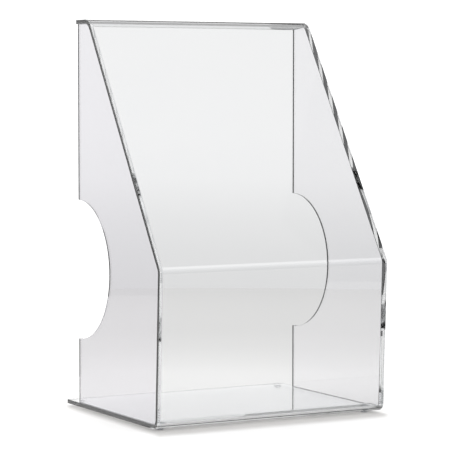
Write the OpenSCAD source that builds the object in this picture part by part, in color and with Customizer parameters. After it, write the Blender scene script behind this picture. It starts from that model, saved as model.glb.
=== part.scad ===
// Free-standing rack made of clear acrylic sheet.
// One sheet is line-bent into a base, an upright lower front, a sloping front
// and a short top flange. Two side panels with half-round hand cutouts close
// its ends, the back is open, and four domed feet stand under the base.
// The front faces -Y, the width runs along X, and the feet stand on Z = 0.

/* [Size] */
// Width over the cut ends of the bent sheet
body_w = 250; // [180:1:320]
// Base, from its back edge to the sharp corner of the bottom-front bend
base_d = 198; // [150:1:260]
// Height of the bent sheet, without the feet
sheet_h = 384; // [340:1:460]
// Height of the sharp corner between the lower and the sloping front
mid_h = 149; // [100:1:180]
// How far the lower front leans out from its foot to that corner
front_lean = 6; // [0:1:20]
// Sharp corner of the top bend, measured forward from the base's back edge
top_set = 53; // [40:1:80]

/* [Sheet] */
// Thickness of the acrylic sheet, the same in all three pieces
sheet_t = 4; // [3:0.5:6]
// Back edge of the top flange, forward of the base's back edge
flange_set = 24; // [10:1:28]
// Back edge of the side panels, forward of the base's back edge
panel_set = 28; // [10:1:30]

/* [Bends] */
// Inside radius of the bottom-front bend
bottom_r = 5; // [2:0.5:10]
// Inside radius of the bend in the middle of the front
mid_r = 8; // [2:0.5:14]
// Inside radius of the top bend
top_r = 12; // [4:0.5:16]

/* [Hand cutouts] */
// Radius of the half-round cutout in each side panel's back edge
cut_r = 69; // [40:1:75]
// Height of the cutout's centre above the underside of the base
cut_h = 137.5; // [100:0.5:180]

/* [Joints] */
// Width of the bead of cement along the inside of each joint
bead_w = 0.9; // [0.3:0.1:2]

/* [Feet] */
// Diameter of a bumper foot where it is stuck on
foot_d = 8; // [6:0.5:12]
// Height of a bumper foot
foot_h = 2.2; // [1.5:0.1:4]
// Diameter of the flat that a foot stands on
foot_flat_d = 3.2; // [1:0.1:5]
// Thickness of the adhesive disc on top of a foot
tape_t = 0.15; // [0.1:0.05:0.5]
// Foot centres, in from the cut ends of the sheet
foot_inset_x = 12; // [8:1:30]
// Back foot centres, forward of the base's back edge
foot_back = 12; // [8:1:30]
// Front foot centres, back from the bottom-front corner
foot_front = 17; // [16:1:40]

/* [Hidden] */
$fn = 96;
step_a = 6;

// Sharp corners of the outer face in section, as [y, z] from the base's back
// lower edge.
front_foot = [-base_d, 0];
front_knee = [-base_d - front_lean, mid_h];
top_corner = [-top_set, sheet_h];

// Unit direction from a to b, the normal that points into the rack,
// and the angle by which the sheet turns from direction d to direction e.
function along(a, b) = (b - a) / norm(b - a);
function inward(d) = [d[1], -d[0]];
function turn(d, e) = acos(d * e);

run_base = [-1, 0];
run_front = along(front_foot, front_knee);
run_slope = along(front_knee, top_corner);
run_flange = [1, 0];

// A bend: sharp outer corner, directions in and out, inside radius.
bend_bottom = [front_foot, run_base, run_front, bottom_r];
bend_mid = [front_knee, run_front, run_slope, mid_r];
bend_top = [top_corner, run_slope, run_flange, top_r];
BENDS = [bend_bottom, bend_mid, bend_top];

// The outer face's radius, how far before the sharp corner its bend starts,
// and the centre that both faces share.
function outer_r(b) = b[3] + sheet_t;
function reach(b) = outer_r(b) * tan(turn(b[1], b[2]) / 2);
function centre(b) = b[0] - b[1] * reach(b) + inward(b[1]) * outer_r(b);

// The points of every bend, in order along a face that lies depth below the
// outer one. A bend is drawn in equal steps of at most step_a degrees.
function steps(b) = ceil(turn(b[1], b[2]) / step_a);
function start_a(b) = atan2(-inward(b[1])[1], -inward(b[1])[0]);
function bend_point(b, r, a) = centre(b) + r * [cos(a), sin(a)];
function bend_points(b, r) = [
    for (i = [0 : steps(b)])
        bend_point(b, r, start_a(b) - turn(b[1], b[2]) * i / steps(b))
];
function face_points(depth) = [
    for (b = BENDS) each bend_points(b, outer_r(b) - depth)
];
function reversed(list) = [for (i = [len(list) - 1 : -1 : 0]) list[i]];

// The outline of a layer of the bent shape between two depths, which ends at
// low_y along the base and at high_y along the top.
function layer(depth_0, depth_1, low_y, high_y) = [
    [low_y, depth_0],
    each face_points(depth_0),
    [high_y, sheet_h - depth_0],
    [high_y, sheet_h - depth_1],
    each reversed(face_points(depth_1)),
    [low_y, depth_1]
];

// The section's own middle is moved over the origin, and raised onto the feet.
front_most = centre(bend_mid)[0] - outer_r(bend_mid);
shift_y = -front_most / 2;
lift = foot_h + tape_t;

panel_back_y = -panel_set;
foot_x = body_w / 2 - foot_inset_x;
foot_back_y = -foot_back;
foot_front_y = -base_d + foot_front;
dome_c = (pow(foot_d / 2, 2) - pow(foot_flat_d / 2, 2) + foot_h * foot_h) / (2 * foot_h);
dome_r = sqrt(pow(foot_flat_d / 2, 2) + dome_c * dome_c);

// Puts a section that was extruded along X into the rack's own frame.
module placed() {
    translate([0, shift_y, lift]) children();
}

// Stands a [y, z] outline up and gives it a thickness from x0 to x1.
module across(x0, x1) {
    placed()
        translate([x0, 0, 0])
            rotate([90, 0, 90])
                linear_extrude(x1 - x0) children();
}

// The room inside the bent sheet as far back as the panels go, less the cutout.
module panel_section() {
    difference() {
        polygon([
            [panel_back_y, sheet_t],
            each face_points(sheet_t),
            [panel_back_y, sheet_h - sheet_t]
        ]);
        translate([panel_back_y, cut_h]) circle(cut_r);
    }
}

// The whole seam, grown from a panel's inner face at x0 towards x0 + side.
// Two steps stand for its hollow fillet: wide and low, then narrow and high.
module seam(x0, side) {
    for (step = [[bead_w, bead_w / 3], [bead_w / 3, bead_w]])
        across(min(x0, x0 + side * step[1]), max(x0, x0 + side * step[1]))
            polygon(layer(sheet_t, sheet_t + step[0], panel_back_y, panel_back_y));
}

module wrap_sheet() {
    color([0.90, 0.93, 0.95, 0.4])
        across(-body_w / 2, body_w / 2)
            polygon(layer(0, sheet_t, 0, -flange_set));
}

module left_panel() {
    color([0.86, 0.90, 0.94, 0.4]) across(-body_w / 2, -body_w / 2 + sheet_t) panel_section();
}

module right_panel() {
    color([0.86, 0.90, 0.94, 0.4]) across(body_w / 2 - sheet_t, body_w / 2) panel_section();
}

module left_cement() {
    color([0.95, 0.97, 1.00, 0.6]) seam(-body_w / 2 + sheet_t, 1);
}

module right_cement() {
    color([0.95, 0.97, 1.00, 0.6]) seam(body_w / 2 - sheet_t, -1);
}

// A bumper foot: a dome with a small flat, standing on Z = 0.
module foot(x, y) {
    color([0.80, 0.84, 0.88, 0.7])
        translate([x, y + shift_y, 0])
            intersection() {
                cylinder(h = foot_h, d = foot_d);
                translate([0, 0, dome_c]) sphere(dome_r);
            }
}

// The adhesive disc between a foot and the base.
module tape(x, y) {
    color([0.95, 0.97, 1.00, 0.6])
        translate([x, y + shift_y, foot_h])
            cylinder(h = tape_t, d = foot_d);
}

wrap_sheet();
left_panel();
right_panel();
left_cement();
right_cement();
foot(-foot_x, foot_front_y);  // foot_front_left
foot(foot_x, foot_front_y);  // foot_front_right
foot(-foot_x, foot_back_y);  // foot_back_left
foot(foot_x, foot_back_y);  // foot_back_right
tape(-foot_x, foot_front_y);  // tape_front_left
tape(foot_x, foot_front_y);  // tape_front_right
tape(-foot_x, foot_back_y);  // tape_back_left
tape(foot_x, foot_back_y);  // tape_back_right
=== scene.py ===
# %% [markdown]
# # A clear acrylic rack
#
# The rack is made of three pieces of clear acrylic sheet, 4 mm thick. One sheet is
# line-bent into a base, an upright lower front, a sloping front and a short top flange.
# Two flat panels with half-round hand cutouts close its ends. They are cemented in, and
# four soft clear bumpers stand under the base.
#
# The CAD model is loaded first. It fixes every size and place, and the pieces made here
# take over from its nodes with finer bends, eased edges and real materials.

import math

import bmesh
import bpy
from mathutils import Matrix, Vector


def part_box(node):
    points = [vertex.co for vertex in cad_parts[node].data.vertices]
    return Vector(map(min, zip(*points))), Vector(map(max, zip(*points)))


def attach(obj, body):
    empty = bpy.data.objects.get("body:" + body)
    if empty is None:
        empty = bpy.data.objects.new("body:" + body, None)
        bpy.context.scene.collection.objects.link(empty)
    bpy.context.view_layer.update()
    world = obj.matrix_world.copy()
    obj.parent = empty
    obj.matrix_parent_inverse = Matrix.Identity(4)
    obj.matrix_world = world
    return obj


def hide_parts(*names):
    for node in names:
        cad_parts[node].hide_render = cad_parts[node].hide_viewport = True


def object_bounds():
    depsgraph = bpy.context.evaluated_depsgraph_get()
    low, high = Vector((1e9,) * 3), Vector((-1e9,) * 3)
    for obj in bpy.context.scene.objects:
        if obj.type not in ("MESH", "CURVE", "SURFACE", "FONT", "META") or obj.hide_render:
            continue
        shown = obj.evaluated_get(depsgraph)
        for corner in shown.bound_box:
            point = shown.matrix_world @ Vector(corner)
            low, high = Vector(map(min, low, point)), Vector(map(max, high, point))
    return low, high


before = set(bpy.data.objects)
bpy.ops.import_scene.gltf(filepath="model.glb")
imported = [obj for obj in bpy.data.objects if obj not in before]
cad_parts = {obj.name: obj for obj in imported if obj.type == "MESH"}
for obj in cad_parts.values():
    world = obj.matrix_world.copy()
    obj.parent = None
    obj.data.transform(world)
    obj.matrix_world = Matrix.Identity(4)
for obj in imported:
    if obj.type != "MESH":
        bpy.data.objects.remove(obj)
cad_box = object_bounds()
print("CAD box", [tuple(round(c, 4) for c in corner) for corner in cad_box])

# %% [markdown]
# ## The camera
#
# A long lens from about two metres keeps the rack's uprights nearly parallel. The camera
# stands left of the front, a little above the rack's middle, and looks slightly down. Its
# direction is built from a turn and a tip, so both can be read at a glance.

# %% Camera
CAMERA_PLACE = Vector((-1.01775, -1.83515, 0.31735))
CAMERA_TURN = math.radians(29.014)
CAMERA_TIP = math.radians(3.634)
LENS_MM = 169.95

camera_data = bpy.data.cameras.new("camera")
camera_data.lens = LENS_MM
camera_data.sensor_width = 36
camera = bpy.data.objects.new("camera", camera_data)
bpy.context.scene.collection.objects.link(camera)
looks_along = Vector((
    math.sin(CAMERA_TURN) * math.cos(CAMERA_TIP),
    math.cos(CAMERA_TURN) * math.cos(CAMERA_TIP),
    -math.sin(CAMERA_TIP),
))
camera.location = CAMERA_PLACE
camera.rotation_mode = "QUATERNION"
camera.rotation_quaternion = looks_along.to_track_quat("-Z", "Y")
bpy.context.scene.camera = camera
print("camera looks along", [round(c, 4) for c in looks_along])

# %% [markdown]
# ## How light is counted
#
# Light goes through many faces of clear sheet before it reaches the floor behind, and it
# is thrown about inside every cut edge. The path tracer is therefore allowed many
# bounces. The Standard view keeps the white floor white.

# %% Bounces and view
scene = bpy.context.scene
scene.view_settings.view_transform = "Standard"
scene.cycles.max_bounces = 40
scene.cycles.transmission_bounces = 40
scene.cycles.glossy_bounces = 24
scene.cycles.transparent_max_bounces = 32
scene.cycles.use_denoising = True
print("light may bounce", scene.cycles.max_bounces, "times")

# %% [markdown]
# ## Small helpers for shader nodes
#
# A node tree is easier to read as one line per node. `add_node` makes a node and sets
# its values, and `join` links two sockets. The others make one common node each: a sum
# or product, a colour ramp, a mix of two colours, and a smooth step. `in_mirror` tells
# the rays that a shiny face sent here from those that a dull face has scattered.

# %% Node helpers
def add_node(tree, kind, **values):
    """Adds a shader node. A value is set on the input of that name, or else on the node."""
    node = tree.nodes.new(kind)
    for name, value in values.items():
        socket = node.inputs.get(name.replace("_", " "))
        if socket is not None and not hasattr(node, name):
            socket.default_value = value
        else:
            setattr(node, name, value)
    return node


def join(tree, out_socket, in_socket):
    tree.links.new(out_socket, in_socket)


def do_math(tree, operation, first, second):
    """A Math node on two sockets or numbers. It gives back the result's socket."""
    node = tree.nodes.new("ShaderNodeMath")
    node.operation = operation
    for place, value in enumerate((first, second)):
        if isinstance(value, bpy.types.NodeSocket):
            tree.links.new(value, node.inputs[place])
        else:
            node.inputs[place].default_value = value
    return node.outputs[0]


def shade_ramp(tree, factor, stops):
    """A ramp of greys or colours. stops are (position, colour), and a number is a grey."""
    ramp = tree.nodes.new("ShaderNodeValToRGB")
    elements = ramp.color_ramp.elements
    for place, (position, shade) in enumerate(stops):
        element = elements[place] if place < 2 else elements.new(position)
        element.position = position
        colour = shade if isinstance(shade, tuple) else (shade, shade, shade)
        element.color = (*colour, 1)
    tree.links.new(factor, ramp.inputs[0])
    return ramp.outputs[0]


def pick(tree, factor, when_0, when_1):
    """Mixes two colours by a factor. A colour may be a socket, a number or three numbers."""
    mix = tree.nodes.new("ShaderNodeMix")
    mix.data_type = "RGBA"
    tree.links.new(factor, mix.inputs["Factor"])
    for socket, value in ((mix.inputs[6], when_0), (mix.inputs[7], when_1)):
        if isinstance(value, bpy.types.NodeSocket):
            tree.links.new(value, socket)
        else:
            colour = value if isinstance(value, tuple) else (value, value, value)
            socket.default_value = (*colour, 1)
    return mix.outputs[2]


def ramp_between(tree, value, start, end):
    """A smooth step from 0 at start to 1 at end."""
    step = add_node(tree, "ShaderNodeMapRange", interpolation_type="SMOOTHSTEP")
    step.inputs["From Min"].default_value = start
    step.inputs["From Max"].default_value = end
    join(tree, value, step.inputs["Value"])
    return step.outputs[0]


def in_mirror(tree, path):
    """1 for a ray that was mirrored on its way and not scattered, from a Light Path node."""
    was_reflected = do_math(tree, "GREATER_THAN", path.outputs["Glossy Depth"], 0.5)
    not_scattered = do_math(tree, "LESS_THAN", path.outputs["Diffuse Depth"], 0.5)
    return do_math(tree, "MULTIPLY", was_reflected, not_scattered)


print("node helpers ready")

# %% [markdown]
# ## The studio around the rack
#
# Clear sheet shows only what is behind it and what it reflects, so the studio is half of
# the material. A product table for glass has a pale sweep behind, soft light overhead,
# and a dark room in front, which draws the edges as dark lines.
#
# The world is one shader that asks what a ray has met on its way. A ray that only passed
# through the sheet meets the pale sweep. A ray that was reflected, at a face or inside an
# edge, meets the whole studio with its dark side. A ray that comes straight from the
# camera meets plain white, which is the background beside the rack.

# %% World
SWEEP_LOW = -0.10
SWEEP_HIGH = 0.03
UPPER_ROOM = 0.45
SCATTERED_LIGHT = 0.85
WHITE_TO_CAMERA = 1.3

world = bpy.data.worlds.new("studio")
scene.world = world
world.use_nodes = True
sky = world.node_tree
sky.nodes.clear()
direction = add_node(sky, "ShaderNodeTexCoord").outputs["Generated"]
axes = add_node(sky, "ShaderNodeSeparateXYZ")
join(sky, direction, axes.inputs[0])
across_x, away_y, up_z = axes.outputs
path = add_node(sky, "ShaderNodeLightPath")

sweep_place = add_node(sky, "ShaderNodeMapRange")
sweep_place.inputs["From Min"].default_value = SWEEP_LOW
sweep_place.inputs["From Max"].default_value = SWEEP_HIGH
join(sky, up_z, sweep_place.inputs["Value"])
sweep = shade_ramp(sky, sweep_place.outputs[0], [
    (0.0, 0.775), (0.10, 0.792), (0.19, 0.815), (0.30, 0.86), (0.45, 0.945), (0.60, 0.965),
])

# The studio that reflections see: dark in front, the sweep behind, grey above it, and
# bright straight overhead.
overhead = shade_ramp(sky, up_z, [(0.0, 0.04), (0.5, 0.08), (0.84, 0.18), (0.95, 1.0)])
ahead = do_math(
    sky, "ADD",
    do_math(sky, "MULTIPLY", across_x, math.sin(CAMERA_TURN)),
    do_math(sky, "MULTIPLY", away_y, math.cos(CAMERA_TURN)),
)
behind = ramp_between(sky, ahead, 0.05, 0.65)
low_down = ramp_between(sky, up_z, 0.60, 0.20)
lower_sweep = shade_ramp(sky, do_math(sky, "ADD", do_math(sky, "MULTIPLY", up_z, 4.0), 0.4), [
    (0.0, 0.76), (0.32, 0.97), (0.55, 1.03), (0.75, 1.09),
])
whole_sweep = pick(sky, low_down, UPPER_ROOM, lower_sweep)
reflected = pick(sky, behind, overhead, whole_sweep)

was_reflected = do_math(sky, "GREATER_THAN", path.outputs["Glossy Depth"], 0.5)
was_diffused = do_math(sky, "GREATER_THAN", path.outputs["Diffuse Depth"], 0.5)
seen = pick(sky, was_reflected, sweep, reflected)
seen = pick(sky, was_diffused, seen, SCATTERED_LIGHT)
seen = pick(sky, path.outputs["Is Camera Ray"], seen, WHITE_TO_CAMERA)
background = add_node(sky, "ShaderNodeBackground")
join(sky, seen, background.inputs["Color"])
world_output = add_node(sky, "ShaderNodeOutputWorld")
join(sky, background.outputs[0], world_output.inputs["Surface"])
world.cycles.sampling_method = "NONE"
print("world has", len(sky.nodes), "nodes")

# %% [markdown]
# ## The floor
#
# The table is a plain pale disc that the feet stand on. The ring around the rack is
# painted a little darker, and darker still farther out, as painted shade. On the side
# away from the light it is painted lighter, so that the table's far edge never shows as a
# line through the sheet. Seen straight from the camera the table is bright enough to be
# white, except for the soft shade close to the base, which is painted on in a fixed
# direction. Seen through a sheet it is the darker ring.
#
# Reflected rays find the table painted dark in front of the rack and close to its right
# side, and bright far behind. That dark is painted shade in the table's colour, which only
# reflected rays see. It is what turns the cut ends dark and keeps the joints light.

# %% Floor
FLOOR_RADIUS = 1.3
CONTACT_REACH = 0.025
OPEN_TABLE = 0.96
SHADE_START = (0.66, 0.648, 0.642)
SHADE_NEAR = (0.68, 0.67, 0.665)
SHADE_MIDDLE = (0.82, 0.814, 0.81)
AWAY_FROM_LIGHT = 0.72
FAR_LEFT = 0.70
PAINTED_DARK_FRONT = 0.07

lowest, highest = cad_box
mesh_tool = bmesh.new()
bmesh.ops.create_circle(mesh_tool, cap_ends=True, radius=FLOOR_RADIUS, segments=96)
floor_mesh = bpy.data.meshes.new("floor")
mesh_tool.to_mesh(floor_mesh)
mesh_tool.free()
floor = bpy.data.objects.new("floor", floor_mesh)
scene.collection.objects.link(floor)

table_top = bpy.data.materials.new("pale_table")
table_top.use_nodes = True
tree = table_top.node_tree
tree.nodes.clear()
place = add_node(tree, "ShaderNodeTexCoord").outputs["Object"]
axes = add_node(tree, "ShaderNodeSeparateXYZ")
join(tree, place, axes.inputs[0])


def reach_side(tree, coordinate, side, towards):
    """How far it is towards the sweep, from a point of the floor, to a side of the base."""
    to_side = do_math(tree, "SUBTRACT", side, coordinate)
    return do_math(tree, "DIVIDE", to_side, towards)


enter = do_math(
    tree, "MAXIMUM",
    reach_side(tree, axes.outputs[0], lowest.x, math.sin(CAMERA_TURN)),
    reach_side(tree, axes.outputs[1], lowest.y, math.cos(CAMERA_TURN)),
)
enter = do_math(tree, "MAXIMUM", enter, 0)
leave = do_math(
    tree, "MINIMUM",
    reach_side(tree, axes.outputs[0], highest.x, math.sin(CAMERA_TURN)),
    reach_side(tree, axes.outputs[1], highest.y, math.cos(CAMERA_TURN)),
)
shaded = ramp_between(tree, do_math(tree, "SUBTRACT", leave, enter), -0.010, 0.012)
shade = shade_ramp(tree, do_math(tree, "DIVIDE", enter, CONTACT_REACH), [
    (0.0, SHADE_START), (0.25, SHADE_NEAR), (0.62, SHADE_MIDDLE), (1.0, OPEN_TABLE),
])
contact = pick(tree, shaded, OPEN_TABLE, shade)
length = add_node(tree, "ShaderNodeVectorMath", operation="LENGTH")
join(tree, place, length.inputs[0])
# Painted shade: the table's grey darkens with distance from the rack, for rays through a sheet.
ring = shade_ramp(tree, do_math(tree, "DIVIDE", length.outputs["Value"], FLOOR_RADIUS), [
    (0.12, 0.76), (0.215, 0.717), (0.285, 0.662), (0.40, 0.598), (0.53, 0.560), (0.95, 0.552),
])
path = add_node(tree, "ShaderNodeLightPath")
# Painted shade for reflected rays: the table is painted dark in front of the rack and beside its
# right side.
in_front = ramp_between(tree, axes.outputs[1], lowest.y, lowest.y - 0.03)
at_right = ramp_between(tree, axes.outputs[0], highest.x - 0.01, highest.x + 0.005)
beside = do_math(tree, "MULTIPLY", at_right, ramp_between(tree, axes.outputs[1], 0.20, 0.12))
mirrored = in_mirror(tree, path)
painted_dark_front = do_math(tree, "MULTIPLY", do_math(tree, "MAXIMUM", in_front, beside), mirrored)
towards_light = do_math(
    tree, "ADD",
    do_math(tree, "MULTIPLY", axes.outputs[0], 0.32),
    do_math(tree, "MULTIPLY", axes.outputs[1], 0.95),
)
dim_side = do_math(
    tree, "MULTIPLY",
    ramp_between(tree, length.outputs["Value"], 0.45, 1.25),
    ramp_between(tree, towards_light, 0.8, -0.4),
)
ring = pick(tree, dim_side, ring, AWAY_FROM_LIGHT)
far_left = do_math(
    tree, "MULTIPLY",
    ramp_between(tree, axes.outputs[1], 0.22, 0.32),
    ramp_between(tree, axes.outputs[0], 0.48, 0.40),
)
table_grey = pick(tree, do_math(tree, "MULTIPLY", far_left, mirrored), ring, FAR_LEFT)
table_grey = pick(tree, painted_dark_front, table_grey, PAINTED_DARK_FRONT)
table_grey = pick(tree, path.outputs["Is Camera Ray"], table_grey, contact)
paint = add_node(tree, "ShaderNodeBsdfDiffuse")
join(tree, table_grey, paint.inputs["Color"])
output = add_node(tree, "ShaderNodeOutputMaterial")
join(tree, paint.outputs[0], output.inputs["Surface"])
floor_mesh.materials.append(table_top)
print("floor radius", FLOOR_RADIUS)

# %% [markdown]
# ## Two dark cards
#
# A photographer of clear sheet stands dark cards beside it, just out of sight. Light that
# runs along inside a sheet and leaves by its far end then finds a card there, and the
# near end turns dark. A black card stands at the right, with a short lower part so that
# it isn't mirrored in the base. It fades out along its lower edge, so that no panel
# mirrors a hard line. A grey one stands behind the right panel. Only rays that were
# reflected on their way can see them. Each card glows with a fixed grey instead of
# being lit, so the dark it gives the sheet is a painted reflection.

# %% Cards
def stand_card(name, corners, grey, fade):
    """Stands up a flat card that only reflected rays can see.

    fade is the height where it starts to show and the height from where it is whole."""
    mesh_tool = bmesh.new()
    for part in corners:
        bmesh.ops.contextual_create(mesh_tool, geom=[mesh_tool.verts.new(point) for point in part])
    card_mesh = bpy.data.meshes.new(name)
    mesh_tool.to_mesh(card_mesh)
    mesh_tool.free()
    card = bpy.data.objects.new(name, card_mesh)
    scene.collection.objects.link(card)
    paper = bpy.data.materials.new(name)
    paper.use_nodes = True
    tree = paper.node_tree
    tree.nodes.clear()
    path = add_node(tree, "ShaderNodeLightPath")
    # Painted reflection: the card's grey is a fixed glow, not paper lit by the softbox.
    painted_glow = add_node(tree, "ShaderNodeEmission", Color=(grey, grey, grey, 1))
    clear = add_node(tree, "ShaderNodeBsdfTransparent")
    not_shadow = do_math(tree, "SUBTRACT", 1.0, path.outputs["Is Shadow Ray"])
    place = add_node(tree, "ShaderNodeTexCoord")
    height = add_node(tree, "ShaderNodeSeparateXYZ")
    join(tree, place.outputs["Object"], height.inputs[0])
    fades_in = ramp_between(tree, height.outputs[2], *fade)
    seen = do_math(tree, "MULTIPLY", in_mirror(tree, path), not_shadow)
    mix = add_node(tree, "ShaderNodeMixShader")
    join(tree, do_math(tree, "MULTIPLY", seen, fades_in), mix.inputs[0])
    join(tree, clear.outputs[0], mix.inputs[1])
    join(tree, painted_glow.outputs[0], mix.inputs[2])
    output = add_node(tree, "ShaderNodeOutputMaterial")
    join(tree, mix.outputs[0], output.inputs["Surface"])
    card_mesh.materials.append(paper)
    paper.cycles.emission_sampling = "NONE"
    return card


def upright(along_x, along_y, low_z, high_z):
    """The corners of an upright rectangle, from one end's x and y to the other's."""
    start = (along_x[0], along_y[0])
    end = (along_x[1], along_y[1])
    return [(*start, low_z), (*end, low_z), (*end, high_z), (*start, high_z)]


CARD_X = 0.20
CARD_STEP_Z = 0.14
BLACK, GREY = 0.03, 0.17

right_card = stand_card("black_card", [
    upright((CARD_X, CARD_X), (-0.22, 0.12), 0.04, CARD_STEP_Z),
    upright((CARD_X, CARD_X), (-0.22, 0.25), CARD_STEP_Z, 0.46),
], BLACK, (0.04, 0.12))
back_card = stand_card("grey_card", [
    upright((0.094, 0.25), (0.12, 0.12), 0.06, 0.36),
], GREY, (0.05, 0.06))
print("cards:", right_card.name, back_card.name)

# %% [markdown]
# ## The soft light
#
# One large softbox hangs above and behind the rack. It lights the table, and its light
# comes down through the sheet, so the rack throws only a faint shade.

# %% Softbox
softbox_data = bpy.data.lights.new("softbox", "AREA")
softbox_data.shape = "RECTANGLE"
softbox_data.size = 1.6
softbox_data.size_y = 1.2
softbox_data.energy = 26
softbox_data.color = (1.0, 0.985, 0.965)
softbox = bpy.data.objects.new("softbox", softbox_data)
softbox.location = (0.3, 0.9, 1.9)
softbox.rotation_mode = "QUATERNION"
softbox.rotation_quaternion = (-softbox.location).to_track_quat("-Z", "Y")
softbox.visible_glossy = False
softbox.visible_transmission = False
scene.collection.objects.link(softbox)
print("softbox at", tuple(round(c, 2) for c in softbox.location))

# %% [markdown]
# ## The section of the bent sheet
#
# The rack is drawn in section first, as its maker would set out the bends: the sharp
# outer corners, the sheet's thickness, and the inside radius of each bend. From these
# come the length of every straight run and the centre that each bend turns round.

# %% Section in metres
MM = 0.001
WIDTH = 250 * MM
SHEET = 4 * MM
BASE_DEPTH = 198 * MM
SHEET_HEIGHT = 384 * MM
KNEE_HEIGHT = 149 * MM
FRONT_LEAN = 6 * MM
TOP_SET = 53 * MM
FLANGE_SET = 24 * MM
PANEL_SET = 28 * MM
FOOT_HEIGHT = 2.2 * MM
TAPE = 0.15 * MM

wrap_low, wrap_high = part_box("wrap_sheet")
BACK_Y = wrap_high.y
UNDERSIDE = wrap_low.z


def in_section(y, z):
    """A point of the section, y forward of the base's back edge and z above its underside."""
    return Vector((0, BACK_Y - y, UNDERSIDE + z))


front_foot = in_section(BASE_DEPTH, 0)
front_knee = in_section(BASE_DEPTH + FRONT_LEAN, KNEE_HEIGHT)
top_corner = in_section(TOP_SET, SHEET_HEIGHT)
base_back = in_section(0, 0)
flange_back = in_section(FLANGE_SET, SHEET_HEIGHT)
print("sheet is", round((wrap_high - wrap_low).z / MM, 2), "mm high")
print("its underside is", round(UNDERSIDE / MM, 2), "mm up")

# %% Bends
def bend(corner, before, after, inside_radius):
    """A line bend at a sharp outer corner: its turn, its centre and its two directions.

    reach is how far before the corner the bend starts."""
    way_in = (corner - before).normalized()
    way_out = (after - corner).normalized()
    turn = way_in.angle(way_out)
    outer_radius = inside_radius + SHEET
    reach = outer_radius * math.tan(turn / 2)
    towards_inside = Vector((0, way_in.z, -way_in.y))
    centre = corner - way_in * reach + towards_inside * outer_radius
    return {"turn": turn, "reach": reach, "centre": centre, "way_in": way_in, "way_out": way_out}


bottom_bend = bend(front_foot, base_back, front_knee, 5 * MM)
knee_bend = bend(front_knee, front_foot, top_corner, 8 * MM)
top_bend = bend(top_corner, front_knee, flange_back, 12 * MM)
front_run = (front_knee - front_foot).length - bottom_bend["reach"] - knee_bend["reach"]
slope_run = (top_corner - front_knee).length - knee_bend["reach"] - top_bend["reach"]
for name, one in (("bottom", bottom_bend), ("knee", knee_bend), ("top", top_bend)):
    print(name, "bend turns", round(math.degrees(one["turn"]), 1), "degrees")

# %% [markdown]
# ## Following the bends
#
# A flat strip of acrylic is heated along a line and turned. Spin does the same in
# Blender: it drags geometry round a centre in small steps. Spin with an angle of 0 and a
# shift drags it straight, so one operator makes both the runs and the bends. The same
# walk is used for the sheet's thickness, for a panel's outline and for the bead of
# cement, which keeps all three in line.

# %% Walk along the section
DEGREES_A_STEP = 1.5


def drag(mesh, geometry, shift):
    """Drags geometry straight by shift and gives back its moved end."""
    result = bmesh.ops.spin(
        mesh, geom=geometry, cent=(0, 0, 0), axis=(1, 0, 0), dvec=shift, angle=0, steps=1,
        use_duplicate=False,
    )
    return result["geom_last"]


def turn_round(mesh, geometry, centre, angle, step=DEGREES_A_STEP):
    """Turns geometry about the X direction through centre, in steps of a few degrees."""
    steps = math.ceil(abs(math.degrees(angle)) / step)
    result = bmesh.ops.spin(
        mesh, geom=geometry, cent=centre, axis=(1, 0, 0), dvec=(0, 0, 0), angle=angle,
        steps=steps, use_duplicate=False,
    )
    return result["geom_last"]


def follow_bends(mesh, geometry, base_start, flange_end):
    """Walks geometry from base_start along the base, up the front and back to flange_end."""
    base_run = BASE_DEPTH - base_start - bottom_bend["reach"]
    flange_run = TOP_SET - flange_end - top_bend["reach"]
    end = drag(mesh, geometry, bottom_bend["way_in"] * base_run)
    end = turn_round(mesh, end, bottom_bend["centre"], -bottom_bend["turn"])
    end = drag(mesh, end, knee_bend["way_in"] * front_run)
    end = turn_round(mesh, end, knee_bend["centre"], -knee_bend["turn"])
    end = drag(mesh, end, top_bend["way_in"] * slope_run)
    end = turn_round(mesh, end, top_bend["centre"], -top_bend["turn"])
    return drag(mesh, end, top_bend["way_out"] * flange_run)


print("a bend is made in steps of", DEGREES_A_STEP, "degrees")

# %% [markdown]
# ## Finishing a piece of sheet
#
# Each piece is grown to its thickness, its sharp rims are eased, and its faces are
# sorted. Wide faces keep the maker's polish and get the first material. Sawn and polished
# edges are narrow and get the second. Flat faces stay flat-shaded, and only the strips
# of a bend are smooth. The edges between the two are marked sharp, or the flat's
# direction would tilt the shading at the ends of every strip.

# %% Finish helpers
EASED = 0.18 * MM
FACE_FINISH, EDGE_FINISH = 0, 1


def ease_rims(mesh, rim_angle, amount=EASED, is_free=lambda middle: True):
    """Bevels the edges that turn by more than rim_angle degrees and whose middle is free."""
    rims = [
        e for e in mesh.edges
        if e.calc_face_angle(0) > math.radians(rim_angle)
        and is_free((e.verts[0].co + e.verts[1].co) / 2)
    ]
    bmesh.ops.bevel(
        mesh, geom=rims, offset=amount, offset_type="OFFSET", segments=2, profile=0.5,
        affect="EDGES", clamp_overlap=True, material=-1,
    )
    return len(rims)


def make_piece(mesh, name, finishes, nodes):
    """Turns a bmesh into an object that rides on the frame and stands for its CAD nodes."""
    bmesh.ops.recalc_face_normals(mesh, faces=mesh.faces[:])
    for edge in mesh.edges:
        edge.smooth = all(face.smooth for face in edge.link_faces)
    open_edges = sum(1 for e in mesh.edges if not e.is_manifold)
    data = bpy.data.meshes.new(name)
    mesh.to_mesh(data)
    volume = mesh.calc_volume(signed=True)
    mesh.free()
    for finish in finishes:
        data.materials.append(finish)
    piece = bpy.data.objects.new(name, data)
    scene.collection.objects.link(piece)
    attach(piece, "root")
    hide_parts(*nodes)
    print(name, len(data.polygons), "faces, open edges", open_edges)
    print("  volume", round(volume * 1e6, 3), "cm3")
    return piece


print("rims are eased by", EASED / MM, "mm")

# %% [markdown]
# ## Shared effects
#
# Three effects are used by more than one material, so each is a node group.
# `sheet_ripple` is the faint waviness of cast sheet. `handled_tint` is the slightly uneven
# tint of a clean, handled sheet. `saw_marks` is what a saw and a quick polish leave along
# a cut edge.

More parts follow.
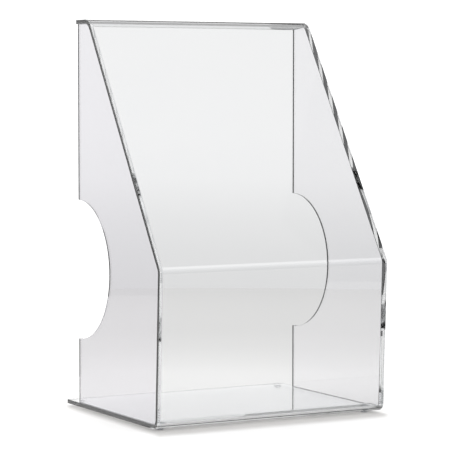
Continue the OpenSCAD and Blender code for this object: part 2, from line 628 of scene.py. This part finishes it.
# %% Node groups
def new_group(name, inputs, output, output_kind):
    """A node group with named inputs and one output, and the nodes at its two ends."""
    group = bpy.data.node_groups.new(name, "ShaderNodeTree")
    for label, kind, value in inputs:
        socket = group.interface.new_socket(label, in_out="INPUT", socket_type=kind)
        socket.default_value = value
    group.interface.new_socket(output, in_out="OUTPUT", socket_type=output_kind)
    return group, group.nodes.new("NodeGroupInput"), group.nodes.new("NodeGroupOutput")


ripple_group, given, result = new_group(
    "sheet_ripple", [("Wave mm", "NodeSocketFloat", 60.0), ("Fine", "NodeSocketFloat", 0.1)],
    "Height", "NodeSocketFloat",
)
place = add_node(ripple_group, "ShaderNodeTexCoord").outputs["Object"]
scale = do_math(ripple_group, "DIVIDE", 1000.0, given.outputs["Wave mm"])
broad = add_node(ripple_group, "ShaderNodeTexNoise", Detail=1.0, Roughness=0.4)
join(ripple_group, place, broad.inputs["Vector"])
join(ripple_group, scale, broad.inputs["Scale"])
fine = add_node(ripple_group, "ShaderNodeTexNoise", Scale=900.0, Detail=2.0)
join(ripple_group, place, fine.inputs["Vector"])
fine_part = do_math(ripple_group, "MULTIPLY", fine.outputs[0], given.outputs["Fine"])
join(ripple_group, do_math(ripple_group, "ADD", broad.outputs[0], fine_part), result.inputs[0])

tint_inputs = [
    ("Clean", "NodeSocketColor", (1, 1, 1, 1)),
    ("Handled", "NodeSocketColor", (0.97, 0.97, 0.97, 1)),
]
tint_group, given, result = new_group("handled_tint", tint_inputs, "Color", "NodeSocketColor")
place = add_node(tint_group, "ShaderNodeTexCoord").outputs["Object"]
cloud = add_node(tint_group, "ShaderNodeTexNoise", Scale=14.0, Detail=4.0, Roughness=0.6)
join(tint_group, place, cloud.inputs["Vector"])
tint = pick(tint_group, cloud.outputs[0], given.outputs["Clean"], given.outputs["Handled"])
join(tint_group, tint, result.inputs[0])

saw_group, given, result = new_group(
    "saw_marks", [("Pitch mm", "NodeSocketFloat", 0.8), ("Drift", "NodeSocketFloat", 1.0)],
    "Height", "NodeSocketFloat",
)
place = add_node(saw_group, "ShaderNodeTexCoord").outputs["Object"]
scale = do_math(saw_group, "DIVIDE", 1000.0, given.outputs["Pitch mm"])
teeth = add_node(saw_group, "ShaderNodeTexNoise", Detail=2.0, Roughness=0.5)
join(saw_group, place, teeth.inputs["Vector"])
join(saw_group, scale, teeth.inputs["Scale"])
slow = add_node(saw_group, "ShaderNodeTexNoise", Scale=70.0, Detail=2.0)
join(saw_group, place, slow.inputs["Vector"])
slow_part = do_math(saw_group, "MULTIPLY", slow.outputs[0], given.outputs["Drift"])
join(saw_group, do_math(saw_group, "ADD", teeth.outputs[0], slow_part), result.inputs[0])
print("groups:", ripple_group.name, tint_group.name, saw_group.name)

# %% [markdown]
# ## Clear materials
#
# Acrylic is a smooth dielectric with an index of 1.49. The Principled shader with full
# transmission is exactly that. Cycles lets no light through glass to the floor unless it
# is found by chance, so shadow rays meet a Transparent shader instead, which lets most of
# the light by. Camera and reflected rays never meet it.

# %% Clear material maker
def clear_material(name, index, rough, tint, handled, height_group, values, bump, lets_by):
    """A clear material whose tint and small relief come from the shared groups.

    values are the relief group's inputs, bump is the relief's strength and its height in
    mm, and lets_by is the colour of the light that passes on to the floor."""
    finish = bpy.data.materials.new(name)
    finish.use_nodes = True
    tree = finish.node_tree
    tree.nodes.clear()
    body = add_node(tree, "ShaderNodeBsdfPrincipled")
    body.inputs["Roughness"].default_value = rough
    body.inputs["IOR"].default_value = index
    body.inputs["Transmission Weight"].default_value = 1.0
    body.inputs["Metallic"].default_value = 0.0
    colour = add_node(tree, "ShaderNodeGroup", node_tree=tint_group)
    colour.inputs["Clean"].default_value = (*tint, 1)
    colour.inputs["Handled"].default_value = (*handled, 1)
    join(tree, colour.outputs[0], body.inputs["Base Color"])
    relief = add_node(tree, "ShaderNodeGroup", node_tree=height_group)
    for label, value in values.items():
        relief.inputs[label].default_value = value
    raised = add_node(tree, "ShaderNodeBump")
    raised.inputs["Strength"].default_value = bump[0]
    raised.inputs["Distance"].default_value = bump[1] * MM
    join(tree, relief.outputs[0], raised.inputs["Height"])
    join(tree, raised.outputs[0], body.inputs["Normal"])
    thin = add_node(tree, "ShaderNodeBsdfTransparent")
    thin.inputs[0].default_value = (*lets_by, 1)
    path = add_node(tree, "ShaderNodeLightPath")
    mix = add_node(tree, "ShaderNodeMixShader")
    join(tree, path.outputs["Is Shadow Ray"], mix.inputs[0])
    join(tree, body.outputs[0], mix.inputs[1])
    join(tree, thin.outputs[0], mix.inputs[2])
    output = add_node(tree, "ShaderNodeOutputMaterial")
    join(tree, mix.outputs[0], output.inputs["Surface"])
    return finish


ACRYLIC_INDEX = 1.49


def polished_face(name, tint, handled):
    """The maker's own polish on a wide face of sheet, in a tint given per piece."""
    return clear_material(
        name, ACRYLIC_INDEX, 0.0, tint, handled,
        ripple_group, {"Wave mm": 90.0, "Fine": 0.0}, (0.2, 0.02), (0.955, 0.96, 0.963),
    )


acrylic_face = polished_face("acrylic_face", (0.995, 0.998, 1.0), (0.975, 0.982, 0.99))
# Painted shade: the left panel's copy is tinted darker than the others, though all three pieces
# are the same clear sheet.
shaded_left_face = polished_face("left_panel_face_painted_shade", (0.874, 0.864, 0.895), (0.854, 0.848, 0.875))
right_face = polished_face("right_panel_face", (0.995, 0.99, 1.0), (0.98, 0.975, 0.99))
acrylic_edge = clear_material(
    "acrylic_edge", ACRYLIC_INDEX, 0.02, (0.95, 0.96, 0.965), (0.90, 0.915, 0.925),
    saw_group, {"Pitch mm": 6.0, "Drift": 2.0}, (0.2, 0.06), (0.93, 0.935, 0.94),
)
print("clear sheet index", ACRYLIC_INDEX)

# %% [markdown]
# ## The bent sheet
#
# The sheet starts as one short edge, its own thickness at the back of the base. That edge
# walks along the section and sweeps out the cut end of the sheet. The end is then grown
# across the rack's width, and its rims are eased as a scraper would ease them.

# %% Wrap sheet
EASE_OVER_DEGREES = 40
FLAT_ENOUGH = 0.99999

mesh = bmesh.new()
left_x = Vector((-WIDTH / 2, 0, 0))
under = mesh.verts.new(in_section(0, 0) + left_x)
over = mesh.verts.new(in_section(0, SHEET) + left_x)
thickness = mesh.edges.new((under, over))
follow_bends(mesh, [under, over, thickness], 0, FLANGE_SET)
grown = bmesh.ops.extrude_face_region(mesh, geom=mesh.faces[:])
far_end = [g for g in grown["geom"] if isinstance(g, bmesh.types.BMVert)]
bmesh.ops.translate(mesh, verts=far_end, vec=(WIDTH, 0, 0))
bmesh.ops.recalc_face_normals(mesh, faces=mesh.faces[:])
ease_rims(mesh, EASE_OVER_DEGREES)


def sort_sheet_faces(mesh, flats):
    """Sets each face's finish, and smooths what lies in no flat.

    flats are the unit normals of the sheet's flat runs. A face whose normal is along one
    of them is a flat face, a face that looks along X or back is a cut edge, and the rest
    are strips of a bend."""
    strips = 0
    for face in mesh.faces:
        width = max(v.co.x for v in face.verts) - min(v.co.x for v in face.verts)
        wide = width > WIDTH / 2
        on_flat = any(abs(face.normal.dot(flat)) > FLAT_ENOUGH for flat in flats)
        looks_back = face.normal.y > 0.9 and face.calc_area() < 2 * WIDTH * SHEET
        face.material_index = FACE_FINISH if wide and not looks_back else EDGE_FINISH
        face.smooth = wide and not on_flat and not looks_back
        strips += face.smooth
    return strips


flat_normals = [
    Vector((0, 0, 1)),
    Vector((0, knee_bend["way_in"].z, -knee_bend["way_in"].y)),
    Vector((0, top_bend["way_in"].z, -top_bend["way_in"].y)),
]
print("bend strips", sort_sheet_faces(mesh, flat_normals))
make_piece(mesh, "bent_sheet", [acrylic_face, acrylic_edge], ["wrap_sheet"])

# %% [markdown]
# ## The side panels
#
# A panel is the room inside the bent sheet as far back as its own edge, less the hand
# cutout. Its outline is one point that walks along the inner face, drops down the back
# edge, and swings round the cutout. The outline is filled, grown to the sheet's
# thickness, and eased.
#
# A cemented joint can keep a film of air along its sawn rim. Such a film mirrors the
# light, and the joint then shows as a fine dark line. A hair gap is left between rim and
# sheet here to make one. The rims in the joints stay sharp and smooth, and only the free
# rims are eased.

# %% Side panels
CUTOUT_RADIUS = 69 * MM
CUTOUT_HEIGHT = 137.5 * MM
JOINT_GAP = 0.02 * MM
BONDED = 2
BROAD_FACE = 0.01
CUT_STRIP = (12 * MM) ** 2
NEARBY = 0.5 * MM


def is_exposed(middle):
    """Tells whether a point of a panel's rim lies on its back edge or on its cutout."""
    centre = in_section(PANEL_SET, CUTOUT_HEIGHT)
    in_cutout = math.hypot(middle.y - centre.y, middle.z - centre.z) < CUTOUT_RADIUS + NEARBY
    return in_cutout or middle.y > centre.y - NEARBY


def side_panel(name, outer_x, side, face_finish, node):
    """A panel whose outer face lies at outer_x and which is one sheet thick towards side."""
    mesh = bmesh.new()
    depth = SHEET + JOINT_GAP
    first = mesh.verts.new(in_section(PANEL_SET, depth) + Vector((outer_x, 0, 0)))
    end = follow_bends(mesh, [first], PANEL_SET, PANEL_SET)
    cut_top = CUTOUT_HEIGHT + CUTOUT_RADIUS
    end = drag(mesh, end, Vector((0, 0, cut_top - (SHEET_HEIGHT - depth))))
    centre = in_section(PANEL_SET, CUTOUT_HEIGHT) + Vector((outer_x, 0, 0))
    end = turn_round(mesh, end, centre, math.pi)
    mesh.edges.new((end[0], first))
    filled = bmesh.ops.contextual_create(mesh, geom=mesh.edges[:])
    grown = bmesh.ops.extrude_face_region(mesh, geom=filled["faces"])
    far_side = [g for g in grown["geom"] if isinstance(g, bmesh.types.BMVert)]
    bmesh.ops.translate(mesh, verts=far_side, vec=(side * SHEET, 0, 0))
    bmesh.ops.recalc_face_normals(mesh, faces=mesh.faces[:])
    ease_rims(mesh, EASE_OVER_DEGREES, is_free=is_exposed)
    for face in mesh.faces:
        broad = face.calc_area() > BROAD_FACE
        exposed = is_exposed(face.calc_center_median())
        face.material_index = FACE_FINISH if broad else EDGE_FINISH if exposed else BONDED
        spans = max(v.co.x for v in face.verts) - min(v.co.x for v in face.verts)
        face.smooth = spans > SHEET / 2 and face.calc_area() < CUT_STRIP
    finishes = [face_finish, acrylic_edge, acrylic_face]
    return make_piece(mesh, name, finishes, [node])


side_panel("side_panel_left", -WIDTH / 2, 1, shaded_left_face, "left_panel")
side_panel("side_panel_right", WIDTH / 2, -1, right_face, "right_panel")

# %% [markdown]
# ## The beads of cement
#
# Solvent cement is run along the inside of each joint, where it is drawn into the gap and
# leaves a fine hollow fillet. Its profile is a corner with a quarter-round hollow, sunk a
# hair into both sheets, and that profile walks along the joint.

# %% Cement
BEAD = 0.55 * MM
SUNK = 0.05

bead_finish = clear_material(
    "cement_bead", 1.48, 0.0, (0.98, 0.985, 0.99), (0.95, 0.96, 0.97),
    saw_group, {"Pitch mm": 4.0, "Drift": 0.6}, (0.3, 0.1), (0.93, 0.935, 0.94),
)


def cement_bead(name, inner_x, side, node):
    """A hollow fillet between a panel's inner face and the bent sheet."""
    mesh = bmesh.new()
    root = in_section(PANEL_SET, SHEET) + Vector((inner_x, 0, 0))
    out_x = Vector((side * BEAD, 0, 0))
    out_z = Vector((0, 0, BEAD))
    corner = mesh.verts.new(root - out_x * SUNK - out_z * SUNK)
    low = mesh.verts.new(root + out_x - out_z * SUNK)
    toe = mesh.verts.new(root + out_x)
    swung = bmesh.ops.spin(
        mesh, geom=[toe], cent=root + out_x + out_z, axis=(0, 1, 0),
        dvec=(0, 0, 0), angle=side * math.pi / 2, steps=6, use_duplicate=False,
    )
    tip = swung["geom_last"][0]
    high = mesh.verts.new(root + out_z - out_x * SUNK)
    for pair in ((corner, low), (low, toe), (tip, high), (high, corner)):
        mesh.edges.new(pair)
    ring = mesh.edges[:]
    end = follow_bends(mesh, mesh.verts[:] + ring, PANEL_SET, PANEL_SET)
    bmesh.ops.contextual_create(mesh, geom=ring)
    bmesh.ops.contextual_create(mesh, geom=[g for g in end if isinstance(g, bmesh.types.BMEdge)])
    for face in mesh.faces:
        face.smooth = len(face.verts) == 4
    return make_piece(mesh, name, [bead_finish], [node])


cement_bead("cement_left", -WIDTH / 2 + SHEET, 1, "left_cement")
cement_bead("cement_right", WIDTH / 2 - SHEET, -1, "right_cement")

# %% [markdown]
# ## The bumper feet
#
# Each foot is a small dome of soft clear plastic, cast in one pour, with a flat where it
# stands. Its half-profile is walked from the middle of the flat, round the dome and back
# to the axis, and then spun a full turn. The poles are merged, so the dome is closed.
#
# Under the base, each foot is held by a thin disc of clear adhesive. It never wets the
# sheet everywhere, which shows as a slightly frosty ring.

# %% Bumpers
FOOT_RADIUS = 4 * MM
FOOT_FLAT = 1.6 * MM
TURN_STEPS = 64
MELTED_IN = 0.03 * MM
DISC_RADIUS = FOOT_RADIUS * 0.96

bumper_finish = clear_material(
    "soft_bumper", 1.48, 0.12, (0.93, 0.95, 0.96), (0.88, 0.90, 0.92),
    ripple_group, {"Wave mm": 3.0, "Fine": 0.1}, (0.4, 0.1), (0.75, 0.76, 0.78),
)
adhesive_finish = clear_material(
    "adhesive_film", 1.47, 0.45, (0.95, 0.955, 0.96), (0.85, 0.87, 0.88),
    saw_group, {"Pitch mm": 1.2, "Drift": 1.5}, (0.8, 0.15), (0.75, 0.76, 0.78),
)


def spun(mesh, profile, axis_point):
    """Spins a half-profile a full turn and welds its poles."""
    bmesh.ops.spin(
        mesh, geom=profile, cent=axis_point, axis=(0, 0, 1), dvec=(0, 0, 0),
        angle=2 * math.pi, steps=TURN_STEPS, use_merge=True, use_duplicate=False,
    )
    bmesh.ops.remove_doubles(mesh, verts=mesh.verts[:], dist=0.001 * MM)


def bumper_foot(name, centre, node):
    """A dome from a profile in the X-Z plane through the foot's own axis."""
    mesh = bmesh.new()
    dome_centre = (FOOT_RADIUS**2 - FOOT_FLAT**2 + FOOT_HEIGHT**2) / (2 * FOOT_HEIGHT)
    dome_radius = math.hypot(FOOT_FLAT, dome_centre)
    angle_at_top = math.atan2(FOOT_RADIUS, dome_centre - FOOT_HEIGHT)
    sweep_angle = angle_at_top - math.atan2(FOOT_FLAT, dome_centre)
    pole = mesh.verts.new(centre)
    rim = mesh.verts.new(centre + Vector((FOOT_FLAT, 0, 0)))
    mesh.edges.new((pole, rim))
    dome = bmesh.ops.spin(
        mesh, geom=[rim], cent=centre + Vector((0, 0, dome_centre)), axis=(0, 1, 0),
        dvec=(0, 0, 0), angle=-sweep_angle, steps=16, use_duplicate=False,
    )
    shoulder = dome["geom_last"][0]
    crown = mesh.verts.new(centre + Vector((0, 0, FOOT_HEIGHT)))
    mesh.edges.new((shoulder, crown))
    spun(mesh, mesh.verts[:] + mesh.edges[:], centre)
    for face in mesh.faces:
        face.smooth = abs(face.normal.z) < 0.99
    print("dome radius", round(dome_radius / MM, 2), "mm")
    return make_piece(mesh, name, [bumper_finish], [node])


def adhesive_disc(name, centre, node):
    """A thin disc with an eased rim. It goes a hair into the foot and into the base."""
    mesh = bmesh.new()
    made = bmesh.ops.create_circle(
        mesh, cap_ends=True, radius=DISC_RADIUS, segments=TURN_STEPS,
    )
    underneath = centre + Vector((0, 0, FOOT_HEIGHT - MELTED_IN))
    bmesh.ops.translate(mesh, verts=made["verts"], vec=underneath)
    grown = bmesh.ops.extrude_face_region(mesh, geom=mesh.faces[:])
    upper = [g for g in grown["geom"] if isinstance(g, bmesh.types.BMVert)]
    bmesh.ops.translate(mesh, verts=upper, vec=(0, 0, TAPE + 2 * MELTED_IN))
    bmesh.ops.recalc_face_normals(mesh, faces=mesh.faces[:])
    ease_rims(mesh, EASE_OVER_DEGREES, 0.04 * MM)
    return make_piece(mesh, name, [adhesive_finish], [node])


for corner in ("front_left", "front_right", "back_left", "back_right"):
    low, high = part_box("foot_" + corner)
    foot_centre = Vector(((low.x + high.x) / 2, (low.y + high.y) / 2, low.z))
    bumper_foot("bumper_" + corner, foot_centre, "foot_" + corner)
    adhesive_disc("adhesive_" + corner, foot_centre, "tape_" + corner)
